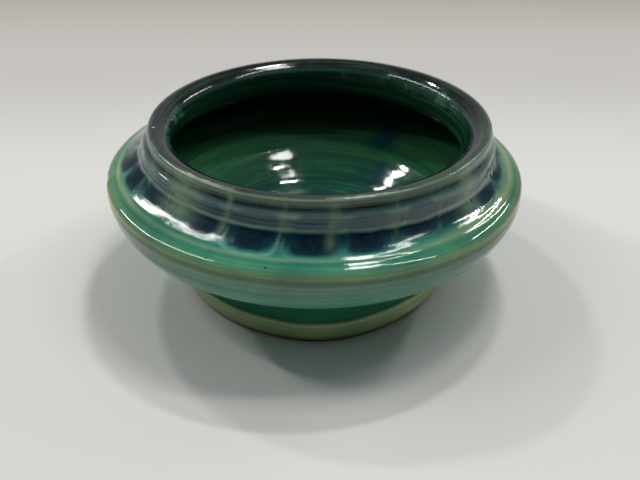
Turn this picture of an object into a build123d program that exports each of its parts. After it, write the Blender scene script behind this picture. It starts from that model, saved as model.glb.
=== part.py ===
from build123d import *
import math
import os

# Hand-thrown stoneware bowl: a low round pot with a trimmed foot ring, a
# pinched waist, a wide lens-shaped belly with a double ridge, a sloping
# shoulder and a short upright collar with a thick rim.
#
# Frame: millimetres, +Z up. The origin is the centre of the foot ring on the
# plane the bowl rests on. The front of the bowl faces -Y.
#
# Pieces
#   clay_body    the fired clay wall, foot ring and foot well
#   outer_glaze  the green glass coat from the wipe line on the foot to the rim
#   rim_glaze    the dark coat over the top of the rim
#   liner_glaze  the green coat over the whole inside
#   blue_dabs    a ring of separate thin brushed patches on collar and shoulder

# ---------------------------------------------------------------- dimensions
BELLY_R = 65.2         # widest radius, at the belly
BELLY_Z = 35.4         # height of the widest radius
HEIGHT = 53.9          # highest point of the glazed rim
MOUTH_R = 45.5         # clear radius inside the collar
FOOT_R = 44.3          # outside radius of the foot ring
WAIST_R = 38.3         # narrowest outside radius, above the foot
FOOT_FLAT_OUT = 42.5   # outer radius of the flat the bowl rests on
FOOT_FLAT_IN = 37.8    # inner radius of that flat
FOOT_WELL_Z = 4.6      # nominal depth of the recess inside the foot ring
FLOOR_Z = 11.2         # top of the glazed floor at the centre
GLAZE_WIPE_Z = 0.9     # bare clay shows below this height on the foot
OUTER_T = 0.50         # usual thickness of the outer coat
RIM_T = 0.40           # rim coat
LINER_T = 0.60         # inside coat
DAB_T = 0.22           # how far a brushed patch stands proud
DAB_LOW_Z = 40.50      # profile point where the band of dabs begins
DAB_TOP_Z = 50.30      # profile point where it ends, under the rim

# ------------------------------------------------------------------ profiles
# Finished (glazed) surface as radius, z, local coat thickness. The three
# tables form one line: up the outside, over the rim, down the inside. Each
# coat starts at the last point of the table before it.
OUTER = [
    (43.35, GLAZE_WIPE_Z, 0.28),
    (43.90, 3.0, 0.40),
    (FOOT_R, 5.4, 0.42),
    (FOOT_R - 0.10, 7.0, 0.34),
    (43.35, 8.0, 0.36),
    (41.20, 9.2, 0.50),
    (39.20, 10.8, 0.62),
    (WAIST_R, 12.8, 0.66),
    (39.00, 14.9, 0.64),
    (41.20, 17.2, 0.58),
    (45.20, 19.5, 0.54),
    (50.60, 21.5, 0.52),
    (56.20, 22.8, 0.52),
    (60.00, 24.8, 0.50),
    (62.60, 27.9, 0.48),
    (64.50, 31.8, 0.46),
    (BELLY_R, BELLY_Z, 0.38),
    (64.90, 38.1, 0.34),
    (63.55, 39.35, 0.46),
    (62.10, 39.95, 0.42),
    (61.00, DAB_LOW_Z, 0.42),
    (59.00, 41.68, OUTER_T),
    (57.10, 43.00, 0.54),
    (55.55, 44.50, 0.46),
    (54.85, 45.95, 0.40),
    (54.55, 47.40, 0.50),
    (54.15, 48.90, 0.42),
    (53.20, DAB_TOP_Z, 0.52),
    (52.65, 51.30, 0.54),
    (52.75, 52.30, 0.42),
]
RIM = [
    (52.62, 53.20, 0.36),
    (51.90, 53.80, 0.34),
    (50.60, HEIGHT, RIM_T),
    (49.00, 53.35, RIM_T),
    (47.50, 52.45, RIM_T),
    (46.55, 51.45, 0.42),
    (46.05, 50.30, 0.46),
]
INNER = [
    (45.65, 48.30, LINER_T),
    (MOUTH_R, 46.20, LINER_T),
    (45.95, 43.90, 0.52),
    (47.30, 42.20, 0.50),
    (50.20, 40.30, LINER_T),
    (53.80, 38.20, 0.66),
    (56.80, 35.40, 0.70),
    (57.75, 32.60, 0.66),
    (56.30, 30.10, LINER_T),
    (52.30, 28.00, LINER_T),
    (47.20, 26.20, LINER_T),
    (42.00, 24.20, LINER_T),
    (36.80, 21.50, LINER_T),
    (31.00, 18.40, 0.62),
    (24.00, 15.30, 0.68),
    (14.00, 12.40, 0.76),
    (0.0, FLOOR_Z, 0.80),
]
STEPS = 2  # spans each table interval is divided into


def refine(points):
    """Extra points on a Catmull-Rom curve through a profile's points."""
    refined = []
    for i in range(len(points) - 1):
        before, start = points[max(i - 1, 0)], points[i]
        end, after = points[i + 1], points[min(i + 2, len(points) - 1)]
        for k in range(STEPS):
            u = k / STEPS
            refined.append(tuple(
                0.5 * (2 * b + (c - a) * u + (2 * a - 5 * b + 4 * c - d) * u * u
                       + (3 * b - a - 3 * c + d) * u ** 3)
                for a, b, c, d in zip(before, start, end, after)))
    refined.append(points[-1])
    return refined


def tangents(points):
    """Unit direction of travel at each profile point."""
    directions = []
    for i in range(len(points)):
        before = points[max(i - 1, 0)]
        after = points[min(i + 1, len(points) - 1)]
        dr, dz = after[0] - before[0], after[1] - before[1]
        length = math.hypot(dr, dz)
        directions.append((dr / length, dz / length))
    return directions


PROFILE = refine(OUTER + RIM + INNER)
TANGENTS = tangents(PROFILE)
TANGENTS[-1] = (-1.0, 0.0)  # level at the axis, so the clay ends on the axis

# The clay lies to the left of travel: the coat is taken off in that
# direction, and the dabs stand proud in the other.
FINISHED = [(r, z) for r, z, _ in PROFILE]
CLAY = [(r - coat * tz, z + coat * tr)
        for (r, z, coat), (tr, tz) in zip(PROFILE, TANGENTS)]
DAB_SKIN = [(r + DAB_T * tz, z - DAB_T * tr)
            for (r, z), (tr, tz) in zip(FINISHED, TANGENTS)]


def spin(points):
    """Solid of revolution about +Z from a closed radius, z outline."""
    face = Face(Wire.make_polygon([Vector(r, 0, z) for r, z in points]))
    return revolve(face, Axis.Z, 360)


def spin_between(line_a, line_b, first, last):
    """Spun layer between two matching lines, from point first to last."""
    return spin(line_a[first:last + 1] + line_b[first:last + 1][::-1])


def save(shape, name):
    shape.label = name
    export_step(shape, f"parts/{name}.step")


# ---------------------------------------------------------------- clay body
def make_clay_body():
    """Clay wall, closed by the bare underside from the axis outwards."""
    clay_foot_r = CLAY[0][0]
    underside = [
        # trimmed recess
        (0.0, FOOT_WELL_Z + 0.40),
        (16.0, FOOT_WELL_Z + 0.30),
        (FOOT_FLAT_IN - 8.0, FOOT_WELL_Z + 0.10),
        (FOOT_FLAT_IN - 3.60, FOOT_WELL_Z - 0.05),
        (FOOT_FLAT_IN - 2.40, FOOT_WELL_Z - 0.5),
        (FOOT_FLAT_IN - 1.75, 3.2),
        (FOOT_FLAT_IN - 1.25, 1.5),
        # chamfered inner edge, then the flat the bowl stands on
        (FOOT_FLAT_IN - 0.75, 0.45),
        (FOOT_FLAT_IN, 0.0),
        (FOOT_FLAT_OUT, 0.0),
        # rounded outer edge
        (clay_foot_r - 0.22, 0.18),
        (clay_foot_r - 0.08, 0.55),
    ]
    return spin(CLAY + underside)


# ---------------------------------------------------------------- blue dabs
# Each dab is a short brush stroke that starts under the rim and runs down
# the collar on to the shoulder, where it ends in a rounded tongue.
# Columns: angle from the front (degrees, positive towards +X), width
# (degrees), end radius (mm).
DABS = [
    (-176.0, 13.0, 58.6), (-159.5, 12.5, 59.2), (-143.0, 13.0, 58.2),
    (-127.0, 12.0, 58.9), (-111.0, 13.0, 58.4), (-96.0, 12.0, 58.8),
    (-82.0, 11.5, 58.4), (-68.0, 11.5, 57.8), (-53.5, 12.5, 57.8),
    (-32.0, 9.5, 58.8), (-17.0, 13.0, 59.6), (-0.5, 12.5, 60.0),
    (14.0, 12.0, 59.0), (30.5, 12.5, 57.6), (59.5, 14.0, 59.0),
    (76.0, 12.0, 58.2), (92.0, 12.5, 58.8), (108.5, 13.0, 59.2),
    (125.0, 12.0, 58.5), (141.5, 13.0, 58.9), (158.0, 12.5, 58.4),
]
TONGUE_IN_R = 50.0       # inner end of the cutting prism, inside the band
TONGUE_ROUND = 3.4       # radial length of the rounded end
TONGUE_POWER = 0.8       # below 1 makes the rounded end fuller
TONGUE_ARC_SPANS = 8
TONGUE_BASE_Z = 38.0     # the prism spans the band's full height
TONGUE_HEIGHT = 16.0
MIN_DAB_VOLUME = 0.5     # mm3; smaller slivers are dropped


def tongue(angle, width, end_r):
    """Upright prism whose plan is a stroke with a rounded outer end."""
    half = math.radians(width) / 2
    outline = []
    for k in range(TONGUE_ARC_SPANS + 1):
        u = math.pi * k / TONGUE_ARC_SPANS
        inset = TONGUE_ROUND * (1 - math.sin(u) ** TONGUE_POWER)
        outline.append((end_r - inset, -half * math.cos(u)))
    outline += [(TONGUE_IN_R, half), (TONGUE_IN_R, -half)]
    middle = math.radians(angle)
    face = Face(Wire.make_polygon([
        Vector(r * math.sin(middle + a), -r * math.cos(middle + a), TONGUE_BASE_Z)
        for r, a in outline]))
    return extrude(face, TONGUE_HEIGHT, dir=(0, 0, 1))


def make_blue_dabs():
    """Thin band over the glaze, cut into separate strokes."""
    heights = [z for _, z, _ in OUTER]
    first, last = (STEPS * heights.index(z) for z in (DAB_LOW_Z, DAB_TOP_Z))
    band = spin_between(FINISHED, DAB_SKIN, first, last)
    return Compound(children=[
        solid for dab in DABS for solid in (band & tongue(*dab)).solids()
        if solid.volume > MIN_DAB_VOLUME])


# -------------------------------------------------------------------- build
os.makedirs("parts", exist_ok=True)
save(make_clay_body(), "clay_body")

RIM_START = STEPS * (len(OUTER) - 1)
LINER_START = RIM_START + STEPS * len(RIM)
for name, first, last in [
    ("outer_glaze", 0, RIM_START),
    ("rim_glaze", RIM_START, LINER_START),
    ("liner_glaze", LINER_START, len(PROFILE) - 1),
]:
    save(spin_between(FINISHED, CLAY, first, last), name)

save(make_blue_dabs(), "blue_dabs")
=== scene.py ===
"""A hand-thrown stoneware bowl: bare clay foot, green breaking glaze, dark rim and
a row of cobalt brush dabs round the shoulder.

It stands upright on Z, centred on the origin, with its front towards -Y. The shape is
a profile turned round Z. "arc" is the distance in mm along the profile, from the foot,
up the outside, over the rim and down to the middle of the floor. "angle" is measured
from the front in radians, positive to the right (+X).
"""
import math

import bpy
import numpy as np
from mathutils import Matrix, Vector


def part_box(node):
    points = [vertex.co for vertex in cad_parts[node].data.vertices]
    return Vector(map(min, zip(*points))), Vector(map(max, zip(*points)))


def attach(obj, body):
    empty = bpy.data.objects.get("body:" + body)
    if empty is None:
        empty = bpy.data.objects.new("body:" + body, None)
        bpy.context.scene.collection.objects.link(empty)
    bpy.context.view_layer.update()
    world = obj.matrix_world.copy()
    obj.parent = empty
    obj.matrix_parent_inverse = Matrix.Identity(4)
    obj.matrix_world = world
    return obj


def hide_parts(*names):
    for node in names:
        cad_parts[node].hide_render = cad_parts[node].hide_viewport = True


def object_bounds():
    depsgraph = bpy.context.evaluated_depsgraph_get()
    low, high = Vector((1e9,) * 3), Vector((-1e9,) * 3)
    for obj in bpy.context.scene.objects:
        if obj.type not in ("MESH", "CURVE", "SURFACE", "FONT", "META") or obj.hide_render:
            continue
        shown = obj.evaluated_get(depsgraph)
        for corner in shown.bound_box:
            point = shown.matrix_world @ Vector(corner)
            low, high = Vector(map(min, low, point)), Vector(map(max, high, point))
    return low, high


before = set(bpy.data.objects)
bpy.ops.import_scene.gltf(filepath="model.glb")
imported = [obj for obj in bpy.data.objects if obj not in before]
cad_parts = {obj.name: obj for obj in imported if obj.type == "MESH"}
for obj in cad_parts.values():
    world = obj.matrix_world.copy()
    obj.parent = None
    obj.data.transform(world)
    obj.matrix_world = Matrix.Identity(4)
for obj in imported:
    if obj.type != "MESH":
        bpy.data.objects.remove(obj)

cad_lo, cad_hi = [list(c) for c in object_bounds()]

# ------------------------------------------------------------------ profile
# radius, z, coat thickness in nominal millimetres; the frame sets the real size
OUTER = [
    (43.35, 0.9, 0.28), (43.90, 3.0, 0.40), (44.30, 5.4, 0.42),
    (44.20, 7.0, 0.34), (43.35, 8.0, 0.36), (41.20, 9.2, 0.50),
    (39.20, 10.8, 0.62), (38.30, 12.8, 0.66), (39.00, 14.9, 0.64),
    (41.20, 17.2, 0.58), (45.20, 19.5, 0.54), (50.60, 21.5, 0.52),
    (56.20, 22.8, 0.52), (60.00, 24.8, 0.50), (62.60, 27.9, 0.48),
    (64.50, 31.8, 0.46), (65.20, 35.4, 0.38), (64.90, 38.1, 0.34),
    (63.55, 39.35, 0.46), (62.10, 39.95, 0.42), (61.00, 40.50, 0.42),
    (59.00, 41.68, 0.50), (57.10, 43.00, 0.54), (55.55, 44.50, 0.46),
    (54.85, 45.95, 0.40), (54.55, 47.40, 0.50), (54.15, 48.90, 0.42),
    (53.20, 50.30, 0.52), (52.65, 51.30, 0.54), (52.75, 52.30, 0.42),
]
RIM = [
    (52.62, 53.20, 0.36), (51.90, 53.80, 0.34), (50.60, 53.9, 0.40),
    (49.00, 53.35, 0.40), (47.50, 52.45, 0.40), (46.55, 51.45, 0.42),
    (46.05, 50.30, 0.46),
]
INNER = [
    (45.65, 48.30, 0.60), (45.50, 46.20, 0.60), (45.95, 43.90, 0.52),
    (47.30, 42.20, 0.50), (50.20, 40.30, 0.60), (53.80, 38.20, 0.66),
    (56.80, 35.40, 0.70), (57.75, 32.60, 0.66), (56.30, 30.10, 0.60),
    (52.30, 28.00, 0.60), (47.20, 26.20, 0.60), (42.00, 24.20, 0.60),
    (36.80, 21.50, 0.60), (31.00, 18.40, 0.62), (24.00, 15.30, 0.68),
    (14.00, 12.40, 0.76), (7.0, 11.45, 0.79), (0.0, 11.2, 0.80),
]
PROFILE = np.array(OUTER + RIM + INNER)
FLOOR_Z, FLOOR_COAT = INNER[-1][1:]
# radius, z of the bare clay under the foot, from the centre outwards
FOOT = np.array([
    (0.0, 5.00), (8.0, 4.95), (16.0, 4.85), (24.0, 4.72), (29.3, 4.60),
    (33.7, 4.45), (35.2, 3.90), (36.0, 3.0), (36.55, 1.5), (37.05, 0.45),
    (37.8, 0.02), (38.4, 0.0), (40.1, 0.0), (41.9, 0.0), (42.5, 0.03),
    (42.85, 0.20), (42.98, 0.55),
])

# metres per nominal millimetre, across and upwards
outer_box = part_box("outer_glaze")
MM_R = (outer_box[1][0] - outer_box[0][0]) / 2 / PROFILE[:, 0].max()
MM_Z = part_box("rim_glaze")[1][2] / PROFILE[:, 1].max()
FOOT_Z = cad_lo[2]


def catmull(points, steps):
    """Catmull-Rom curve through the points, with this many steps per span."""
    padded = np.vstack([2 * points[0] - points[1], points, 2 * points[-1] - points[-2]])
    out = []
    for i in range(1, len(padded) - 2):
        p0, p1, p2, p3 = padded[i - 1:i + 3]
        for k in range(steps):
            t = k / steps
            out.append(0.5 * (2 * p1 + (p2 - p0) * t
                              + (2 * p0 - 5 * p1 + 4 * p2 - p3) * t * t
                              + (3 * p1 - p0 - 3 * p2 + p3) * t ** 3))
    out.append(points[-1])
    return np.array(out)


def arc_length(points):
    return np.r_[0, np.cumsum(np.hypot(np.diff(points[:, 0]), np.diff(points[:, 1])))]


def smooth(values, sigma):
    """Gaussian blur that keeps the slope at both ends."""
    reach = int(3 * sigma)
    kernel = np.exp(-0.5 * (np.arange(-reach, reach + 1) / sigma) ** 2)
    kernel /= kernel.sum()
    padded = np.r_[2 * values[0] - values[reach:0:-1], values,
                   2 * values[-1] - values[-2:-reach - 2:-1]]
    return np.convolve(padded, kernel, "valid")


SPAN_STEPS = 24
TABLE_STEP = 0.05
curve = catmull(PROFILE, SPAN_STEPS)
curve_arc = arc_length(curve)
END = curve_arc[-1]
ARCS = np.linspace(0, END, int(END / TABLE_STEP) + 1)
RADII, HEIGHTS, COATS = (smooth(np.interp(ARCS, curve_arc, curve[:, i]), sigma)
                         for i, sigma in enumerate((9, 9, 12)))
RADII[-1] = 0.0
# unit tangent: outwards and upwards parts
OUTWARD, UPWARD = np.gradient(RADII, ARCS), np.gradient(HEIGHTS, ARCS)
tangent_size = np.hypot(OUTWARD, UPWARD)
OUTWARD, UPWARD = OUTWARD / tangent_size, UPWARD / tangent_size

# stations along the profile, each at a row of PROFILE
FOOT_TOP, WAIST, UNDERSIDE, BELLY, BELLY_RIDGE, SHELF, SHOULDER, CREASE, GROOVE = (
    curve_arc[SPAN_STEPS * row] for row in (3, 7, 12, 16, 17, 19, 20, 23, 28))
RIM_OUT, RIM_IN, THROAT, HOLLOW = (curve_arc[SPAN_STEPS * row] for row in (29, 36, 39, 44))
RIM_MID = (RIM_OUT + RIM_IN) / 2


def ease(x, lo, hi):
    t = np.clip((x - lo) / (hi - lo), 0, 1)
    return t * t * (3 - 2 * t)


def window(x, rise_lo, rise_hi, fall_lo, fall_hi):
    return ease(x, rise_lo, rise_hi) * (1 - ease(x, fall_lo, fall_hi))


def bell(x, centre, width):
    return np.exp(-((x - centre) / width) ** 2)


def turn(angle, origin):
    """Angle from the origin, wrapped to plus or minus pi."""
    return np.angle(np.exp(1j * (angle - origin)))


def wander(angle, seed, top=5):
    """Slow closed noise round the bowl, about -1 to 1."""
    rng = np.random.default_rng(seed)
    out = 0
    for k in range(1, top + 1):
        out = out + rng.normal() / k ** 0.8 * np.sin(k * angle + rng.uniform(0, 2 * np.pi))
    return out * 0.6


def rings(arc, angle, pitch, seed, drift=0.5):
    """Marks left by the potter's fingers: rings that drift in height."""
    rng = np.random.default_rng(seed)
    start, skew = rng.uniform(0, 2 * np.pi, 2)
    phase = drift * (np.sin(angle + start) + 0.5 * np.sin(2 * angle + skew))
    main = np.sin(2 * np.pi * arc / pitch + phase + start + angle)
    fine = np.sin(2 * np.pi * arc / (pitch * 0.617) - 1.3 * phase + skew)
    broad = np.sin(2 * np.pi * arc / (pitch * 1.73) + 0.7 * phase + start + skew)
    return (main + 0.6 * fine + 0.7 * broad) / 1.7 * (0.75 + 0.25 * np.sin(angle * 2 + skew))


def liner_rings(arc, angle):
    return rings(arc, angle, 3.1, 22, 0.9) * ease(arc, THROAT + 1, THROAT + 4)


# ridges (+) and grooves (-): height, station, sway, sway seed, width
RIDGES = [
    (0.20, FOOT_TOP, 0.25, 5, 0.55), (-0.13, BELLY - 1.6, 0.12, 6, 0.5),
    (-0.09, BELLY - 4.4, 0.15, 16, 0.6), (0.13, BELLY_RIDGE, 0.15, 7, 0.75),
    (-0.04, SHELF, 0.12, 8, 0.55), (0.065, SHOULDER, 0.22, 9, 0.45),
    (-0.02, SHOULDER + 1.2, 0.2, 9, 0.5), (0.15, CREASE + 1.3, 0.15, 10, 0.50),
    (-0.06, CREASE + 0.1, 0.15, 10, 0.5), (-0.05, CREASE + 2.9, 0.2, 10, 0.7),
    (0.09, CREASE + 4.9, 0.2, 12, 0.75), (-0.10, GROOVE, 0.1, 13, 0.55),
]
# throwing rings: height, pitch, seed, window in which they show
THROWN = [
    (0.055, 1.9, 2, (WAIST, WAIST + 4, BELLY - 4, BELLY)),
    (0.010, 2.6, 3, (SHOULDER + 0.6, SHOULDER + 1.6, CREASE - 1.4, CREASE)),
    (0.055, 1.45, 4, (CREASE, CREASE + 1, GROOVE - 0.5, GROOVE + 0.8)),
    (0.022, 2.6, 21, (RIM_IN + 0.5, RIM_IN + 2, THROAT - 1, THROAT + 1)),
]


def relief(arc, angle):
    """Height in mm of ridges and rings above the smooth profile."""
    height = 0.045 * rings(arc, angle, 1.5, 1) * bell(arc, 3.0, 3.5)
    for size, station, sway, seed, width in RIDGES:
        height = height + size * bell(arc, station + sway * wander(angle, seed), width)
    for size, pitch, seed, shown in THROWN:
        height = height + size * rings(arc, angle, pitch, seed) * window(arc, *shown)
    height = height + 0.020 * wander(angle * 3, 14, 4) * bell(arc, RIM_MID, 3.5)
    height = height + (0.005 * liner_rings(arc, angle) * (1 - 0.75 * ease(arc, END - 22, END - 4))
                       * (1 - ease(arc, END - 5, END - 1)))
    swell = np.sin(2 * np.pi * (arc - HOLLOW) / 9.0 + 0.5 * np.sin(angle))
    return height + 0.075 * swell * window(arc, HOLLOW + 2, HOLLOW + 6, END - 12, END - 3)


# lumps (+) and flats (-) round the foot: size in mm, angle, spread
FOOT_LUMPS = [(0.85, 0.05, 0.33), (-0.45, -0.70, 0.38), (-0.35, 0.72, 0.32),
              (0.35, 2.6, 0.5), (-0.3, -2.2, 0.4)]
NOTCH_ANGLE = -1.39
LEAN = math.tan(math.radians(0.95))


def flawed(radius, z, angle, arc=None):
    """Adds the small faults of a hand-thrown pot; mm in, points in metres out."""
    foot = 1 - ease(z, 4, 18)
    belly = bell(z, 38, 11)
    lumps = 0.12 * wander(angle, 31, 4)
    for size, centre, spread in FOOT_LUMPS:
        lumps = lumps + size * bell(turn(angle, centre), 0, spread)
    swell = foot * lumps + belly * 0.16 * wander(angle, 32, 3)
    if arc is not None:
        notch = bell(turn(angle, NOTCH_ANGLE), 0, 0.030)
        swell = swell - 0.35 * notch * bell(arc, BELLY_RIDGE, 0.9)
        z = z - 0.75 * np.sin(angle) * bell(arc, CREASE, 4.0)
        z = z + 0.12 * wander(angle, 33, 4) * bell(arc, RIM_MID, 4)
    collar = ease(z, 41, 51)
    swell = swell + collar * 0.5 * bell(turn(angle, 1.9), 0, 0.8)
    radius = radius + swell * np.clip(radius / 20, 0, 1)
    x, y = radius * np.sin(angle), -radius * np.cos(angle)
    x = x + (1.35 * collar - 0.23 * foot) * ease(radius, 10, 34)
    sag = 0.65 * x + 0.5 * (np.sqrt(x * x + 120.0) - 10.95)
    z = z - sag * LEAN * belly * ease(radius, 30, 55)
    return np.stack([x * MM_R, y * MM_R, z * MM_Z + FOOT_Z], -1)


def place(arc, angle, proud=0.0):
    """Point on the finished surface, in metres; proud is in millimetres."""
    arc, angle = np.broadcast_arrays(np.asarray(arc, float), np.asarray(angle, float))
    base, z, outward, upward = (np.interp(arc, ARCS, table)
                                for table in (RADII, HEIGHTS, OUTWARD, UPWARD))
    lift = relief(arc, angle) + proud
    radius = np.where(base <= 1e-9, 0.0, np.maximum(base + upward * lift, 0))
    return flawed(radius, z - outward * lift, angle, arc)


def normal(arc, angle):
    arc_step, angle_step = 0.06, 0.002
    along = place(np.minimum(arc + arc_step, END), angle) - place(
        np.maximum(arc - arc_step, 0), angle)
    around = place(arc, angle + angle_step) - place(arc, angle - angle_step)
    cross = np.cross(around, along)
    size = np.linalg.norm(cross, axis=-1, keepdims=True)
    straight_up = np.zeros_like(cross)
    straight_up[..., 2] = 1
    return np.where(size > 1e-12, cross / np.maximum(size, 1e-12), straight_up)


def coat(arc):
    """Glaze thickness in millimetres."""
    return np.interp(arc, ARCS, COATS)


# --------------------------------------------------------------- dab fields
# angle from the front and width in degrees, lower edge in mm above SHOULDER
DABS = [
    (-176.0, 13.0, 2.0), (-159.5, 12.5, 1.4), (-143.0, 13.0, 2.2),
    (-127.0, 12.0, 1.7), (-111.0, 14.0, 1.6), (-96.0, 13.0, 1.3),
    (-82.0, 15.0, -0.2), (-67.5, 14.5, 0.7), (-53.5, 13.0, 2.7),
    (-32.0, 10.0, 1.6), (-17.0, 15.5, 0.8), (-0.5, 15.0, 0.4),
    (14.0, 15.0, 0.8), (30.5, 12.5, 3.0), (59.5, 15.0, 1.5),
    (76.0, 13.0, 2.2), (92.0, 13.5, 1.6), (108.5, 13.0, 1.2),
    (125.0, 12.5, 1.8), (141.5, 13.0, 1.5), (158.0, 12.5, 2.1),
]
DAB_TOP = GROOVE - 0.6
# strength of the pale fringe of single dabs, by their angle
FRINGE = {-17.0: 1.0, -0.5: 0.45, 14.0: 0.4, -67.5: 0.5, 59.5: 0.5, -111.0: 0.8, 141.5: 0.8}
PLAIN_FRINGE = 0.25
# pale gaps between dabs: angle and half width in degrees, strength
GAPS = [
    (-26.2, 1.0, 1.15), (-9.6, 0.6, 0.55), (4.0, 1.4, 0.95), (-43.0, 6.5, 1.25),
    (50.0, 4.5, 1.2), (-63.0, 0.9, 0.5), (22.5, 0.7, 0.35), (68.5, 0.8, 0.45),
    (-75.0, 0.9, 0.12), (84.5, 1.2, 0.5), (100.5, 0.9, 0.6), (117.0, 2.4, 0.6),
    (133.5, 0.9, 0.5), (150.0, 1.2, 0.6), (168.0, 0.9, 0.6), (-151.0, 1.1, 0.6),
    (-135.0, 0.9, 0.5), (-119.0, 2.8, 0.6), (-104.0, 0.9, 0.5), (-89.5, 1.0, 0.45),
]


def dab_span(lift):
    """Middle and half height of a dab along the profile."""
    low = SHOULDER + lift
    return (DAB_TOP + low) / 2, (DAB_TOP - low) / 2


def dab_distance(dab, arc, angle):
    """0 in the middle of a dab, 1 on its wavy outline."""
    centre, width, lift = dab
    mid, half = dab_span(lift)
    across = turn(angle, math.radians(centre)) / math.radians(width / 2)
    up = (arc - mid) / half
    across = across * (1 + 0.10 * np.sin(2.4 * up + centre)) + 0.06 * np.sin(3.1 * up + 2 * centre)
    return (np.abs(across) ** 3.2 + np.abs(up) ** 4.0) ** (1 / 3.5)


def fields(arc, angle):
    """Strength of the dabs, of their pale fringe and of the gaps."""
    dab, halo, gap = (np.zeros(arc.shape) for _ in range(3))
    below_crease = 1 - ease(arc, CREASE - 3.0, CREASE)
    for row in DABS:
        away = dab_distance(row, arc, angle)
        fringe = FRINGE.get(row[0], PLAIN_FRINGE)
        dab = np.maximum(dab, 1 - ease(away, 0.42, 1.10))
        halo = np.maximum(halo, fringe * bell(away, 1.02, 0.055) * below_crease)
    shown = window(arc, SHOULDER + 0.5, CREASE, RIM_OUT + 1.0, RIM_OUT + 3.0)
    for centre, width, strength in GAPS:
        away = turn(angle, math.radians(centre) + 0.002 * np.sin(arc * 0.3 + centre))
        gap = np.maximum(gap, bell(away, 0, math.radians(width)) * strength * shown)
    return dab, halo, gap


def attrs(arc, angle):
    """Columns: cos, sin, arc in cm (the "cyl" vector), relief, dab, halo, gap."""
    arc, angle = np.broadcast_arrays(np.asarray(arc, float), np.asarray(angle, float))
    raised = np.clip(relief(arc, angle) / 0.16
                     + 0.6 * bell(arc, SHOULDER + 0.22 * wander(angle, 9), 0.4)
                     + 0.55 * liner_rings(arc, angle), -1.5, 1.5)
    return np.stack([np.cos(angle), np.sin(angle), arc / 10, raised, *fields(arc, angle)], -1)


# ------------------------------------------------------------- mesh builder
def mesh_from(name, verts, quads, tris, attr):
    loops = [quads.ravel()]
    starts = [np.arange(len(quads)) * 4]
    totals = [np.full(len(quads), 4)]
    if tris:
        tris = np.concatenate(tris)
        loops.append(tris.ravel())
        starts.append(len(quads) * 4 + np.arange(len(tris)) * 3)
        totals.append(np.full(len(tris), 3))
    loops, starts, totals = map(np.concatenate, (loops, starts, totals))
    mesh = bpy.data.meshes.new(name)
    mesh.vertices.add(len(verts))
    mesh.vertices.foreach_set("co", np.ascontiguousarray(verts, dtype=np.float32).ravel())
    mesh.loops.add(len(loops))
    mesh.loops.foreach_set("vertex_index", loops.astype(np.int32))
    mesh.polygons.add(len(starts))
    mesh.polygons.foreach_set("loop_start", starts.astype(np.int32))
    mesh.polygons.foreach_set("loop_total", totals.astype(np.int32))
    mesh.polygons.foreach_set("use_smooth", np.ones(len(starts), bool))
    mesh.update(calc_edges=True)
    mesh.validate()
    attr = attr.astype(np.float32)
    cyl = mesh.attributes.new("cyl", "FLOAT_VECTOR", "POINT")
    cyl.data.foreach_set("vector", attr[:, :3].ravel())
    for k, key in enumerate(("relief", "dab", "halo", "gap")):
        layer = mesh.attributes.new(key, "FLOAT", "POINT")
        layer.data.foreach_set("value", np.ascontiguousarray(attr[:, 3 + k]))
    ob = bpy.data.objects.new(name, mesh)
    bpy.context.scene.collection.objects.link(ob)
    return ob


def build(name, bands, first_pole=None, last_pole=None, loop=False):
    """Quads between rings of (points, attributes), with fans to the poles."""
    size = len(bands[0][0])
    count = len(bands)
    j = np.arange(size)
    j_next = (j + 1) % size
    quads = []
    for i in range(count if loop else count - 1):
        here, there = i * size, ((i + 1) % count) * size
        quads.append(np.stack([here + j, here + j_next, there + j_next, there + j], 1))
    parts = list(bands)
    tris = []
    tip = count * size
    if first_pole is not None:
        parts.append(first_pole)
        tris.append(np.stack([np.full(size, tip), j_next, j], 1))
        tip += 1
    if last_pole is not None:
        parts.append(last_pole)
        base = (count - 1) * size
        tris.append(np.stack([base + j, base + j_next, np.full(size, tip)], 1))
    verts, attr = (np.concatenate(column) for column in zip(*parts))
    return mesh_from(name, verts, np.concatenate(quads), tris, attr)


def ladder(start, stop, step):
    return np.linspace(start, stop, max(2, int(round(abs(stop - start) / step)) + 1))


AROUND = 512
ANGLES = np.linspace(-np.pi, np.pi, AROUND, endpoint=False)


def ring(arc, depth=0.0, proud=0.0):
    """One ring round the bowl, depth mm below the finished surface."""
    inwards = normal(arc, ANGLES) * np.reshape(depth, (-1, 1)) * MM_R
    return place(arc, ANGLES, proud) - inwards, attrs(arc, ANGLES)


def centre_pole(z, attr):
    return np.array([[0, 0, z * MM_Z + FOOT_Z]]), attr[None]


# ---------------------------------------------------------------- clay body
def foot_rings():
    """Underside of the foot, from the centre out, and its centre pole."""
    points = catmull(FOOT, 8)
    lengths = arc_length(points)
    bands = []
    for dist in ladder(0, lengths[-1], 0.62)[1:]:
        radius = np.interp(dist, lengths, points[:, 0])
        # trimming grooves on the recess, cut with a loop tool on the wheel
        in_well = 1 - ease(radius, 31.0, 34.0)
        cut = 0.09 * in_well * rings(dist, ANGLES, 2.3, 41, 0.3) * ease(radius, 1, 5)
        cut = cut + 0.03 * in_well * np.sin(ANGLES * 58 + dist * 0.8) * bell(radius, 24, 8)
        z = np.interp(dist, lengths, points[:, 1]) - cut
        standing = window(radius, 37.5, 38.1, 42.1, 42.5)
        verts = flawed(radius, np.maximum(z, 0) * (1 - standing), ANGLES)
        verts[:, 2] = np.maximum(verts[:, 2], FOOT_Z)
        attr = np.zeros((AROUND, 7))
        attr[:, 0], attr[:, 1] = np.cos(ANGLES), np.sin(ANGLES)
        attr[:, 2] = -0.5 - (lengths[-1] - dist) / 10
        attr[:, 3] = np.clip(-cut / 0.09, -1, 1)
        bands.append((verts, attr))
    return bands, centre_pole(FOOT[0, 1], np.array([1, 0, -5, 0, 0, 0, 0]))


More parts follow.
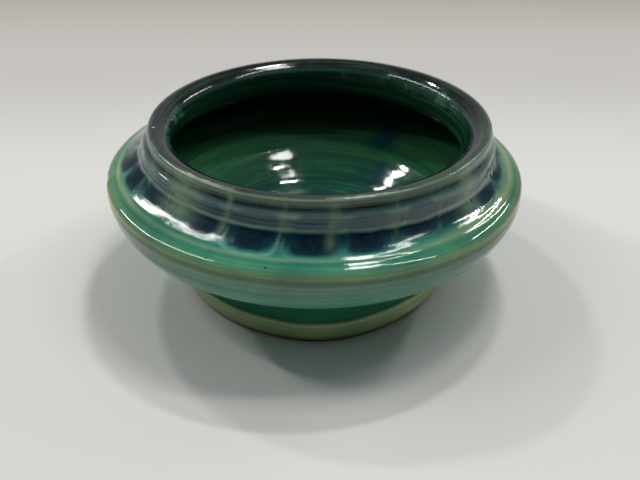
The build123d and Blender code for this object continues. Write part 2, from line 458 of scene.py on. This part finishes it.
foot_bands, foot_pole = foot_rings()
floor_attr = attrs(END, 0.0)
under_coat = centre_pole(FLOOR_Z - FLOOR_COAT, floor_attr)
clay_arcs = np.r_[ladder(0, 3.4, 0.85), ladder(4.9, END - 0.8, 1.52)]
clay = build("fired_clay_body", foot_bands + [ring(arc, coat(arc) + 0.004) for arc in clay_arcs],
             foot_pole, under_coat)


# ------------------------------------------------------------------- glazes
def outer_glaze():
    """Outer coat; its lower edge wavers and ends in a small drip lip."""
    start = 0.10 + 0.55 * np.clip(0.5 + 0.5 * wander(ANGLES, 51, 7), 0, 1.3)
    bands = [ring(start + (RIM_OUT - start) * t) for t in np.linspace(0, 1, int(RIM_OUT / 0.56))]
    for t in np.linspace(1, 0, 44):
        arc = start + (RIM_OUT - start) * t
        bands.append(ring(arc, coat(arc)))
    lip, attr = ring(start, 0.5 * coat(start))
    bands.append((lip - np.array([0, 0, 0.10 * MM_Z]), attr))
    return build("outer_green_glaze", bands, loop=True)


def rim_glaze():
    """Dark coat that laps over the outer and the inner glaze."""
    overlap = 1.5
    first, last = RIM_OUT - overlap, RIM_IN + overlap
    bands = [ring(arc, proud=-0.05 + 0.10 * ease(min(arc - first, last - arc), 0, overlap))
             for arc in ladder(first, last, 0.34)]
    bands += [ring(arc, coat(arc) - 0.03) for arc in ladder(last, first, 0.9)]
    return build("dark_rim_glaze", bands, loop=True)


def liner_glaze():
    bands = [ring(arc, coat(arc)) for arc in ladder(END - 0.9, RIM_IN, 1.6)]
    bands += [ring(arc) for arc in ladder(RIM_IN, END - 0.7, 0.62)]
    return build("inner_green_glaze", bands, under_coat, centre_pole(FLOOR_Z, floor_attr))


outer = outer_glaze()
rim = rim_glaze()
liner = liner_glaze()


# ---------------------------------------------------------------- blue dabs
def blue_dabs():
    """Low domes of cobalt, one per row of DABS, in one mesh."""
    steps, sides, sunk = 20, 56, -0.16
    phi = np.linspace(0, 2 * np.pi, sides, endpoint=False)
    edge_across = np.sign(np.cos(phi)) * np.abs(np.cos(phi)) ** (2 / 3.2)
    edge_up = np.sign(np.sin(phi)) * np.abs(np.sin(phi)) ** (2 / 4.0)
    j = np.arange(sides)
    j_next = (j + 1) % sides
    parts, quads, tris, base = [], [], [], 0
    for n, (centre, width, lift) in enumerate(DABS):
        mid, half = dab_span(lift)
        tall = 0.17 + 0.03 * math.sin(n * 2.3)

        def outline(reach, proud):
            angle = math.radians(centre) + math.radians(width / 2) * 1.06 * (reach * edge_across)
            arc = mid + half * 1.02 * (reach * edge_up)
            return place(arc, angle, proud), attrs(arc, angle)

        def pole(proud):
            return [column[:1] for column in outline(0.0, proud)]

        bands = []
        for k in range(1, steps + 1):
            reach = (k / steps) ** 0.85
            dome = (0.5 + 0.5 * math.cos(math.pi * reach)) ** 0.8
            bands.append(outline(reach, -0.035 + (tall + 0.035) * dome))
        for k in range(steps, 2, -4):
            bands.append(outline((k / steps) ** 0.85, sunk))
        tip = base + len(bands) * sides
        # the outline runs anticlockwise seen from outside, the rings run outwards
        for first in range(base, tip - sides, sides):
            after = first + sides
            quads.append(np.stack([first + j, after + j, after + j_next, first + j_next], 1))
        last = tip - sides
        tris.append(np.stack([np.full(sides, tip), base + j, base + j_next], 1))
        tris.append(np.stack([np.full(sides, tip + 1), last + j_next, last + j], 1))
        parts += bands + [pole(tall), pole(sunk)]
        base = tip + 2
    verts, attr = (np.concatenate(column) for column in zip(*parts))
    return mesh_from("cobalt_brush_dabs", verts, np.concatenate(quads), tris, attr)


dabs = blue_dabs()

# ---------------------------------------------------------------- materials
UP, DOWN = (0.0, 1.0), (1.0, 0.0)


def srgb(*channels):
    """Linear colour from 0-255 sRGB."""
    def linear(c):
        c = c / 255
        return c / 12.92 if c <= 0.04045 else ((c + 0.055) / 1.055) ** 2.4
    return (*map(linear, channels), 1.0)


def grey(level):
    return (level, level, level, 1)


class Net:
    """Shorthand for the nodes of a material or world."""

    def __init__(self, owner):
        owner.use_nodes = True
        self.owner = owner
        self.nodes = owner.node_tree.nodes
        self.links = owner.node_tree.links

    def put(self, socket, val):
        if isinstance(val, bpy.types.NodeSocket):
            self.links.new(val, socket)
        else:
            socket.default_value = val

    def feed(self, node, **inputs):
        for key, val in inputs.items():
            self.put(node.inputs[key.replace("_", " ")], val)

    def add(self, kind, **inputs):
        node = self.nodes.new(kind)
        self.feed(node, **inputs)
        return node

    def math(self, op, *values):
        node = self.nodes.new("ShaderNodeMath")
        node.operation = op
        for socket, val in zip(node.inputs, values):
            self.put(socket, val)
        return node.outputs[0]

    def plus(self, a, b):
        return self.math("ADD", a, b)

    def minus(self, a, b):
        return self.math("SUBTRACT", a, b)

    def mul(self, a, b):
        return self.math("MULTIPLY", a, b)

    def size(self, a):
        return self.math("ABSOLUTE", a, 0.0)

    def sway(self, noise, amount):
        return self.mul(self.minus(noise, 0.5), amount)

    def remap(self, x, span, to=UP, soft=True):
        node = self.add("ShaderNodeMapRange", Value=x, From_Min=span[0], From_Max=span[1],
                        To_Min=to[0], To_Max=to[1])
        node.interpolation_type = "SMOOTHSTEP" if soft else "LINEAR"
        node.clamp = True
        return node.outputs[0]

    def mix(self, amount, a, b, mode="MIX"):
        node = self.nodes.new("ShaderNodeMix")
        node.data_type = "RGBA"
        node.blend_type = mode
        for index, val in ((0, amount), (6, a), (7, b)):
            self.put(node.inputs[index], val)
        return node.outputs[2]

    def multiply(self, col, tint):
        return self.mix(1.0, col, tint, "MULTIPLY")

    def tint(self, col, amount, tint):
        return self.mix(amount, col, self.multiply(col, tint))

    def attr(self, name, out="Fac"):
        node = self.nodes.new("ShaderNodeAttribute")
        node.attribute_name = name
        return node.outputs[out]

    def coord(self, kind):
        return self.nodes.new("ShaderNodeTexCoord").outputs[kind]

    def vector_math(self, op, *values):
        node = self.nodes.new("ShaderNodeVectorMath")
        node.operation = op
        for socket, val in zip(node.inputs, values):
            self.put(socket, val)
        return node.outputs

    def noise(self, vec, scale, detail=3.0, rough=0.55):
        return self.add("ShaderNodeTexNoise", Vector=vec, Scale=scale, Detail=detail,
                        Roughness=rough, Distortion=0.0).outputs["Fac"]

    def dots(self, scale, span):
        """Small round specks on a voronoi grid."""
        node = self.add("ShaderNodeTexVoronoi", Vector=self.obj, Scale=scale)
        return self.remap(node.outputs["Distance"], span=span, to=DOWN)

    def ramp(self, fac, stops, blend="EASE"):
        node = self.nodes.new("ShaderNodeValToRGB")
        node.color_ramp.interpolation = blend
        self.put(node.inputs[0], fac)
        marks = node.color_ramp.elements
        while len(marks) > 1:
            marks.remove(marks[-1])
        stops = sorted(stops)
        marks[0].position, marks[0].color = stops[0]
        for position, color in stops[1:]:
            marks.new(min(max(position, 0), 1)).color = color
        return node.outputs[0]


class Pottery(Net):
    """A material with the signals that the mesh attributes carry."""

    def __init__(self, name):
        super().__init__(bpy.data.materials.new(name))
        self.obj = self.coord("Object")
        self.cyl = self.attr("cyl", "Vector")
        self.relief = self.attr("relief")
        split = self.add("ShaderNodeSeparateXYZ", Vector=self.cyl)
        self.right, self.along = split.outputs[1:3]  # right is sin(angle), along is cm

    def cyl_noise(self, around, along, detail=3.0, rough=0.55):
        stretched = self.vector_math("MULTIPLY", self.cyl, (around, around, along))[0]
        return self.noise(stretched, scale=1.0, detail=detail, rough=rough)

    def rise(self, lo, hi, to=UP):
        """Fades along the profile between two stations in mm."""
        return self.remap(self.along, span=(lo / 10, hi / 10), to=to)

    def zone(self, rise, fall):
        return self.mul(self.rise(*rise), self.rise(*fall, to=DOWN))

    def line(self, x, station, lo, hi):
        """A line round the bowl that fades from lo to hi mm off the station."""
        away = self.size(self.minus(x, station / 10))
        return self.remap(away, span=(lo / 10, hi / 10), to=DOWN)

    def spot(self, source, centre, radius, soft):
        away = self.vector_math("DISTANCE", source, centre)["Value"]
        return self.remap(away, span=(radius - soft, radius + soft), to=DOWN)


# glaze colour down the profile: station, sRGB
OUTER_BANDS = [
    (0.0, 96, 88, 56), (0.9, 116, 128, 84), (3.2, 118, 144, 100),
    (FOOT_TOP - 1.0, 124, 146, 104), (FOOT_TOP + 0.1, 146, 162, 126),
    (FOOT_TOP + 1.0, 62, 100, 72), (FOOT_TOP + 2.4, 58, 128, 102),
    (WAIST, 62, 134, 114), (WAIST + 4.0, 48, 122, 102),
    (UNDERSIDE - 6.0, 44, 118, 102), (UNDERSIDE + 2.0, 60, 124, 106),
    (BELLY - 7.5, 70, 124, 104), (BELLY - 4.4, 62, 114, 94),
    (BELLY_RIDGE - 3.6, 78, 122, 98), (BELLY_RIDGE - 2.2, 58, 94, 64),
    (BELLY_RIDGE - 1.5, 72, 110, 76), (BELLY_RIDGE - 0.7, 106, 142, 102),
    (BELLY_RIDGE + 0.7, 72, 124, 98), (SHELF, 50, 120, 98),
    (SHOULDER - 0.1, 92, 138, 110), (SHOULDER + 0.9, 52, 122, 104),
    (SHOULDER + 2.4, 30, 100, 92), (SHOULDER + 4.2, 16, 72, 74),
    (CREASE - 0.7, 10, 56, 58), (CREASE + 0.2, 24, 66, 62),
    (CREASE + 1.4, 98, 120, 110), (CREASE + 2.5, 60, 82, 84),
    (CREASE + 3.5, 60, 82, 86), (CREASE + 4.9, 98, 120, 116),
    (GROOVE - 1.0, 50, 76, 74), (GROOVE, 26, 48, 46), (RIM_OUT, 66, 88, 76),
]
INNER_BANDS = [
    # the pale stops just past RIM_OUT are partly the glaze breaking pale on the rim's outer edge
    # and partly a painted highlight along that edge
    (RIM_OUT, 66, 88, 76), (RIM_OUT + 0.7, 84, 104, 86), (RIM_OUT + 1.3, 110, 132, 114),
    (RIM_OUT + 1.9, 56, 66, 60), (RIM_OUT + 2.9, 26, 29, 29), (RIM_OUT + 4.2, 22, 23, 24),
    (RIM_IN - 2.8, 20, 24, 24), (RIM_IN - 1.3, 20, 58, 50), (RIM_IN, 12, 42, 30),
    # the near-black stops past the throat down to the hollow are painted shade for the shadowed
    # undercut beneath the collar
    (RIM_IN + 2.0, 8, 48, 30), (THROAT - 1.0, 8, 46, 30), (THROAT + 3.0, 5, 34, 22),
    (HOLLOW - 3.0, 5, 34, 20), (HOLLOW + 3.0, 28, 72, 46), (HOLLOW + 14.0, 38, 86, 56),
    (END - 34.0, 20, 66, 50), (END - 20.0, 10, 64, 58), (END - 8.0, 6, 56, 58),
    (END, 6, 50, 54),
]
# blue spots inside, on wall and floor: centre in metres, radius, strength
BLUE_SPOTS = [
    ((0.032, 0.047, 0.0325), 0.006, 0.75), ((0.028, 0.032, 0.0262), 0.0045, 0.6),
    ((-0.014, -0.020, 0.0220), 0.009, 0.5), ((0.020, -0.022, 0.0230), 0.006, 0.6),
    ((-0.036, 0.004, 0.0290), 0.006, 0.4),
]
# two dark pinholes and a pale chip: centre in metres, radius, colour
FAULTS = [
    ((-0.0124, -0.0622, 0.0396), 0.00035, srgb(30, 20, 10)),
    ((0.0405, -0.0487, 0.0399), 0.00025, srgb(34, 26, 16)),
    ((-0.0485, -0.0085, 0.0540), 0.00045, srgb(150, 160, 150)),
]
GAIN = 1.5  # final brightness of the glaze colour


def banded(net):
    """Bands follow the profile, and wander a little round the pot."""
    def stops(bands, start, end):
        return [((arc - start) / (end - start), srgb(*rgb)) for arc, *rgb in bands]

    pos = net.plus(net.along, net.sway(net.cyl_noise(around=1.6, along=0.25), 0.16))
    fine = net.cyl_noise(around=9.0, along=1.0, detail=2.0)
    net.pos = net.plus(pos, net.sway(fine, 0.05))
    split = RIM_OUT / 10
    outside = net.ramp(net.math("DIVIDE", net.pos, split), stops(OUTER_BANDS, 0, RIM_OUT))
    past = net.math("DIVIDE", net.minus(net.pos, split), (END - RIM_OUT) / 10)
    net.inside = net.rise(RIM_OUT - 0.01, RIM_OUT + 0.01)
    return net.mix(net.inside, outside, net.ramp(past, stops(INNER_BANDS, RIM_OUT, END)))


def broken(net, col):
    """Streaks round the pot, pale ridges, dark grooves and mottling."""
    streaks = net.remap(net.streak, span=(0.28, 0.72), soft=False)
    col = net.multiply(col, net.ramp(streaks, [
        (0.0, (0.68, 0.72, 0.74, 1)), (0.45, (0.96, 0.97, 0.98, 1)), (1.0, (1.30, 1.24, 1.14, 1))]))
    inner_streak = net.cyl_noise(around=0.9, along=6.5, rough=0.6)
    inner_streak = net.remap(inner_streak, span=(0.50, 0.68), to=(0.0, 0.42))
    col = net.mix(net.mul(net.inside, inner_streak), col, srgb(62, 96, 74))
    pale = net.mul(net.remap(net.relief, span=(0.25, 1.1)),
                   net.remap(net.cloud, span=(0.30, 0.62), to=(0.08, 0.36)))
    pale = net.mul(pale, net.minus(1.0, net.rimzone))
    col = net.mix(pale, col, net.mix(net.inside, srgb(132, 154, 112), srgb(62, 98, 56)))
    pool = net.mul(net.remap(net.relief, span=(-0.15, -1.1)), 0.55)
    col = net.tint(col, pool, (0.30, 0.42, 0.46, 1))
    mottle = net.noise(net.obj, scale=75.0, detail=5.0, rough=0.62)
    mottle = net.ramp(net.remap(mottle, span=(0.30, 0.70), soft=False), [
        (0.0, (0.74, 0.80, 0.84, 1)), (0.5, (1.0, 1.0, 1.0, 1)), (1.0, (1.26, 1.20, 1.10, 1))])
    return net.tint(col, net.mix(net.inside, grey(1), grey(0.5)), mottle)


def uneven(net, col):
    """Changes round the outside, from one side of the bowl to the other."""
    # greyer and yellower towards either side as seen from the front
    side = net.size(net.right)
    belly = net.zone(rise=(UNDERSIDE, BELLY), fall=(CREASE - 5, CREASE))
    flank = net.remap(side, span=(0.72, 0.97))
    col = net.tint(col, net.mul(belly, flank), (1.75, 0.98, 0.84, 1))
    mid = net.mul(net.remap(side, span=(0.42, 0.68)), net.remap(side, span=(0.76, 0.95), to=DOWN))
    col = net.tint(col, net.mul(belly, mid), (0.84, 0.78, 0.76, 1))
    # the shelf above the belly breaks pale on the right
    ledge = net.zone(rise=(SHOULDER - 2.2, SHOULDER - 0.2), fall=(SHOULDER + 1, SHOULDER + 3.6))
    patchy = net.mul(net.remap(net.right, span=(0.40, 0.80)),
                     net.remap(net.cloud, span=(0.30, 0.60), to=(0.25, 0.60)))
    col = net.mix(net.mul(ledge, patchy), col, srgb(124, 146, 104))
    # the foot is paler and yellower on its right
    low = net.mul(net.rise(FOOT_TOP - 0.5, FOOT_TOP + 2.5, to=DOWN),
                  net.remap(net.right, span=(0.20, 0.62)))
    col = net.tint(col, low, (1.50, 1.36, 1.38, 1))
    # dark pools under the rim edge
    pools = net.cyl_noise(around=3.2, along=0.4, detail=2.0)
    under = net.mul(net.line(net.pos, GROOVE, lo=0.3, hi=1.2),
                    net.remap(pools, span=(0.44, 0.56), to=(0.0, 0.9)))
    col = net.mix(under, col, srgb(3, 18, 20))
    # soft vertical runs on collar and shoulder
    run = net.cyl_noise(around=24.0, along=0.8, rough=0.6)
    shown = net.zone(rise=(SHOULDER, CREASE), fall=(RIM_OUT - 2, RIM_OUT + 0.5))
    runs = net.mul(shown, net.remap(run, span=(0.52, 0.74), to=(0.0, 0.35)))
    return net.mix(runs, col, srgb(92, 128, 100))


def cobalt(net, col):
    """Brushed cobalt, thin at the edges, with pale fringes and gaps."""
    brush = net.cyl_noise(around=30.0, along=6.0, detail=4.0, rough=0.65)
    mask = net.remap(net.plus(net.dab, net.sway(brush, 0.40)), span=(0.10, 0.60))
    collar = net.rise(CREASE + 0.3, CREASE + 1.2)
    density = net.mul(net.dab, net.remap(brush, span=(0.25, 0.7), to=(0.55, 1.0)))
    navy = net.ramp(density, [
        (0.0, srgb(12, 78, 86)), (0.35, srgb(6, 44, 58)), (1.0, srgb(2, 22, 34))])
    navy = net.mix(collar, navy, srgb(52, 72, 84))
    pooled = net.zone(rise=(CREASE - 3.6, CREASE - 1.2), fall=(CREASE + 0.1, CREASE + 0.9))
    pooled = net.mul(pooled, net.remap(net.cloud, span=(0.30, 0.62), to=(0.35, 0.90)))
    col = net.mix(pooled, col, srgb(4, 36, 46))
    net.mask = net.mul(mask, net.mix(collar, grey(1), grey(0.6)))
    col = net.mix(net.mask, col, navy)
    line = net.line(net.pos, CREASE + 1.4, lo=0.15, hi=0.6)
    for amount, source, span, to, color in (
        (line, net.cloud, (0.3, 0.6), (0.15, 0.55), srgb(112, 138, 122)),
        (net.attr("halo"), net.cloud, (0.32, 0.6), (0.05, 0.60), srgb(126, 176, 166)),
        (net.attr("gap"), brush, (0.2, 0.7), (0.30, 0.62), srgb(112, 134, 108)),
    ):
        col = net.mix(net.mul(amount, net.remap(source, span=span, to=to)), col, color)
    return col


def spotted(net, col):
    """Blue that ran down inside in soft spots, and single faults."""
    warp = net.add("ShaderNodeTexNoise", Vector=net.obj, Scale=110.0, Detail=3.0)
    moved = net.vector_math("MULTIPLY_ADD", warp.outputs["Color"], (0.012, 0.012, 0.012),
                            net.obj)[0]
    deep = net.rise(HOLLOW, HOLLOW + 6)
    for centre, radius, strength in BLUE_SPOTS:
        spot = net.mul(net.spot(moved, centre, radius, soft=0.004), strength)
        col = net.mix(net.mul(deep, spot), col, srgb(5, 34, 62))
    for centre, radius, color in FAULTS:
        fault = net.spot(net.obj, centre, radius, soft=0.0002)
        col = net.mix(net.mul(fault, 0.9), col, color)
    return col


def speckled(net, col):
    """Dark patches and pale frost on the rim, dark specks everywhere."""
    patch = net.noise(net.obj, scale=95.0, detail=4.0, rough=0.6)
    patch = net.remap(patch, span=(0.54, 0.68), to=(0.0, 0.45))
    col = net.mix(net.mul(net.rimzone, patch), col, srgb(20, 54, 50))
    grains = net.noise(net.obj, scale=210.0, detail=5.0, rough=0.7)
    areas = net.cyl_noise(around=2.2, along=0.5, detail=2.0)
    frost = net.mul(net.remap(grains, span=(0.50, 0.66)), net.remap(areas, span=(0.46, 0.60)))
    lipside = net.zone(rise=(RIM_IN - 4.2, RIM_IN - 1.2), fall=(RIM_IN + 0.5, RIM_IN + 3))
    col = net.mix(net.mul(net.mul(frost, lipside), 0.55), col, srgb(92, 128, 120))
    tiny = net.dots(scale=190.0, span=(0.045, 0.075))
    some = net.math("GREATER_THAN", net.noise(net.obj, scale=260.0, detail=0.0), 0.62)
    return net.mix(net.mul(tiny, net.mul(some, 0.55)), col, srgb(14, 20, 16))


def glaze_bump(net):
    """A wet gloss, faintly rippled, with fine grain where the cobalt is thick."""
    ripple = net.noise(net.obj, scale=420.0, detail=2.0, rough=0.5)
    slope = net.zone(rise=(SHOULDER - 1.5, SHOULDER + 0.5), fall=(CREASE - 1, CREASE + 1))
    crystals = net.plus(0.04, net.mul(slope, 0.20))
    crystals = net.plus(crystals, net.mul(net.dab, 0.50))
    grain = net.noise(net.obj, scale=2600.0, detail=2.0, rough=0.6)
    peel = net.noise(net.obj, scale=130.0, detail=2.0, rough=0.5)
    height = net.plus(net.mul(ripple, 0.60), net.mul(peel, 1.3))
    height = net.plus(height, net.mul(net.mul(grain, 0.90), crystals))
    height = net.plus(height, net.mul(net.streak, 0.12))
    edge = net.line(net.along, RIM_OUT + 1.4, lo=0.6, hi=1.6)
    crust = net.noise(net.obj, scale=900.0, rough=0.65)
    height = net.plus(height, net.mul(net.mul(edge, crust), 2.4))
    return net.add("ShaderNodeBump", Strength=0.35, Distance=0.00012, Height=height).outputs[0]


def glaze(name, gloss=0.07):
    """The one glaze all coats share; gloss is its mean roughness."""
    net = Pottery(name)
    net.dab = net.attr("dab")
    net.streak = net.cyl_noise(around=1.1, along=13.0, detail=4.0, rough=0.62)
    net.cloud = net.cyl_noise(around=5.0, along=2.0, detail=4.0, rough=0.6)
    net.rimzone = net.zone(rise=(RIM_OUT - 0.6, RIM_OUT + 0.2), fall=(RIM_IN - 0.5, RIM_IN + 0.5))
    col = banded(net)
    for stage in (broken, uneven, cobalt, spotted, speckled):
        col = stage(net, col)
    rough = net.remap(net.noise(net.obj, scale=300.0), span=(0.3, 0.7),
                      to=(gloss * 0.7, gloss * 1.5))
    # the hollow under the throat hardly shines
    hollow = net.zone(rise=(THROAT - 3, THROAT + 2), fall=(HOLLOW + 3, HOLLOW + 7.5))
    net.feed(net.nodes["Principled BSDF"], Base_Color=net.multiply(col, grey(GAIN)),
             Normal=glaze_bump(net), Roughness=net.plus(rough, net.mul(net.mask, 0.04)), IOR=1.54,
             Specular_IOR_Level=net.minus(0.5, net.mul(hollow, 0.48)))
    return net.owner


def bare_clay():
    net = Pottery("bare_toasted_stoneware")
    blotch = net.noise(net.obj, scale=60.0, detail=4.0, rough=0.6)
    col = net.ramp(net.remap(blotch, span=(0.3, 0.7)), [
        (0.0, srgb(122, 88, 60)), (0.5, srgb(146, 110, 78)), (1.0, srgb(168, 132, 96))])
    toast = net.rise(-8.5, -4.5)
    col = net.mix(net.mul(toast, 0.85), col, srgb(82, 50, 28))
    wheel = net.cyl_noise(around=0.8, along=18.0, detail=4.0, rough=0.65)
    col = net.multiply(col, net.ramp(net.remap(wheel, span=(0.3, 0.7)), [
        (0.0, (0.72, 0.70, 0.68, 1)), (1.0, (1.15, 1.14, 1.12, 1))]))
    col = net.mix(net.remap(net.relief, span=(0.2, -0.9), to=(0.0, 0.35)), col, srgb(84, 60, 42))
    dark = net.dots(scale=520.0, span=(0.10, 0.20))
    some = net.math("GREATER_THAN", net.noise(net.obj, scale=700.0, detail=0.0), 0.58)
    col = net.mix(net.mul(dark, net.mul(some, 0.75)), col, srgb(44, 28, 18))
    grit = net.noise(net.obj, scale=1500.0, detail=4.0, rough=0.7)
    bump = net.add("ShaderNodeBump", Strength=0.5, Distance=0.00018,
                   Height=net.plus(grit, net.mul(wheel, 1.2)))
    net.feed(net.nodes["Principled BSDF"], Base_Color=col, Normal=bump.outputs[0],
             Roughness=net.remap(grit, span=(0.3, 0.7), to=(0.68, 0.9)))
    return net.owner


for ob, node, slot, mat in (
    (clay, "clay_body", "clay", bare_clay()),
    (outer, "outer_glaze", "green_glaze", glaze("green_breaking_glaze")),
    (rim, "rim_glaze", "dark_glaze", glaze("dark_rim_glaze", gloss=0.08)),
    (liner, "liner_glaze", "liner_glaze", glaze("green_liner_glaze")),
    (dabs, "blue_dabs", "blue_glaze", glaze("cobalt_over_green_glaze")),
):
    ob.data.materials.append(mat)
    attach(ob, "root")
    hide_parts(node)


# -------------------------------------------------------------------- table
def table_material():
    """Pale near the bowl, darker towards the back: painted shade for the light falling off behind
    the bowl.
    """
    net = Net(bpy.data.materials.new("pale_table"))
    obj = net.coord("Object")
    far = net.add("ShaderNodeSeparateXYZ", Vector=obj).outputs[1]
    # painted shade: the table colour darkens with distance behind the bowl
    shade = net.ramp(net.remap(far, span=(-0.2, 0.6), soft=False), [
        (0.0, (0.80, 0.795, 0.775, 1)), (0.3, (0.77, 0.765, 0.745, 1)),
        (0.5, (0.58, 0.565, 0.535, 1)), (0.75, (0.38, 0.362, 0.325, 1)),
        (1.0, (0.31, 0.292, 0.255, 1))])
    cloudy = net.ramp(net.noise(obj, scale=9.0), [(0.3, grey(0.98)), (0.7, grey(1.0))])
    net.feed(net.nodes["Principled BSDF"], Base_Color=net.tint(shade, 0.5, cloudy),
             Roughness=0.55, Specular_IOR_Level=0.25)
    return net.owner


table_mesh = bpy.data.meshes.new("table_top")
table_mesh.from_pydata([(-3, -3, 0), (3, -3, 0), (3, 3, 0), (-3, 3, 0)], [], [(0, 1, 2, 3)])
table = bpy.data.objects.new("table_top", table_mesh)
table.location.z = FOOT_Z - 0.00002
bpy.context.scene.collection.objects.link(table)
table_mesh.materials.append(table_material())

# ------------------------------------------------------------------- lights
LAMP_Z = 1.0
LAMP_TARGET = Vector((0, 0, 0.03))
TUBE, PANEL = (1, 0.985, 0.96), (1, 0.99, 0.97)
# name, x and y of both ends, width in metres, watts, colour
LAMPS = [
    ("left_tube_near", (-0.64, -0.13), (-1.30, 0.36), 0.055, 3.57, TUBE),
    ("left_tube_far", (-1.30, 0.36), (-1.88, 1.30), 0.06, 6.27, TUBE),
    ("right_tube_near", (0.36, 0.03), (0.80, -0.02), 0.025, 1.30, TUBE),
    ("right_tube_far", (1.05, 0.40), (1.42, 1.42), 0.035, 5.04, TUBE),
    ("back_panel", (0.13, 0.34), (0.23, 0.34), 0.045, 2.10, PANEL),
    ("front_panel", (0.16, 0.07), (0.31, 0.07), 0.22, 1.89, PANEL),
    ("left_panel", (-0.57, 0.62), (-0.46, 0.62), 0.06, 2.53, PANEL),
]


def lamp(name, start, end, width, power, color):
    """A long soft light from start to end, facing the bowl."""
    start, end = Vector((*start, LAMP_Z)), Vector((*end, LAMP_Z))
    data = bpy.data.lights.new(name, "AREA")
    data.shape = "RECTANGLE"
    data.size, data.size_y = (end - start).length, width
    data.energy = power
    data.color = color
    ob = bpy.data.objects.new(name, data)
    bpy.context.scene.collection.objects.link(ob)
    centre = (start + end) / 2
    x = (end - start).normalized()
    y = (centre - LAMP_TARGET).normalized().cross(x).normalized()
    z = x.cross(y)
    pose = Matrix((x, y, z)).transposed().to_4x4()
    pose.translation = centre
    ob.matrix_world = pose


for row in LAMPS:
    lamp(*row)


# --------------------------------------------------------------------- room
def room(world):
    """A pale room that is darker low down on the side the viewer stands."""
    net = Net(world)
    x, y, z = net.add("ShaderNodeSeparateXYZ", Vector=net.coord("Generated")).outputs
    tilt = net.math("MULTIPLY_ADD", z, 0.8, y)
    color = net.ramp(net.plus(tilt, 0.20), [
        (0.0, grey(0.07)), (0.55, (0.80, 0.81, 0.83, 1)), (1.0, (0.60, 0.61, 0.63, 1))],
        blend="LINEAR")
    # reflections see a darker ceiling between the lamps than the walls are
    level = net.plus(net.remap(net.math("ABSOLUTE", x), span=(0.30, 0.80), to=(0.0, 0.10)),
                     net.remap(y, span=(0.68, 0.96), to=(0.0, 0.50)))
    strength = net.nodes.new("ShaderNodeMix")
    strength.data_type = "FLOAT"
    glossy = net.nodes.new("ShaderNodeLightPath").outputs["Is Glossy Ray"]
    for index, val in ((0, glossy), (2, 0.355), (3, net.plus(level, 0.11))):
        net.put(strength.inputs[index], val)
    net.feed(net.nodes["Background"], Color=color, Strength=strength.outputs[0])


bpy.context.scene.world = bpy.data.worlds.new("room")
room(bpy.context.scene.world)

# ------------------------------------------------------------------- camera
cam_data = bpy.data.cameras.new("camera")
cam_data.sensor_width = 36
cam_data.lens = 45
cam = bpy.data.objects.new("camera", cam_data)
bpy.context.scene.collection.objects.link(cam)
cam.location = (0.000862, -0.229765, 0.154404)
cam.rotation_mode = "QUATERNION"
cam.rotation_quaternion = Vector((0.00279, 0.84393, -0.53644)).to_track_quat("-Z", "Y")
bpy.context.scene.camera = cam
focus = bpy.data.objects.new("focus_point", None)
bpy.context.scene.collection.objects.link(focus)
focus.location = (0.0, -0.030, 0.042)
cam_data.dof.use_dof = True
cam_data.dof.focus_object = focus
cam_data.dof.aperture_fstop = 20
bpy.context.scene.view_settings.view_transform = "Standard"

bpy.context.view_layer.update()
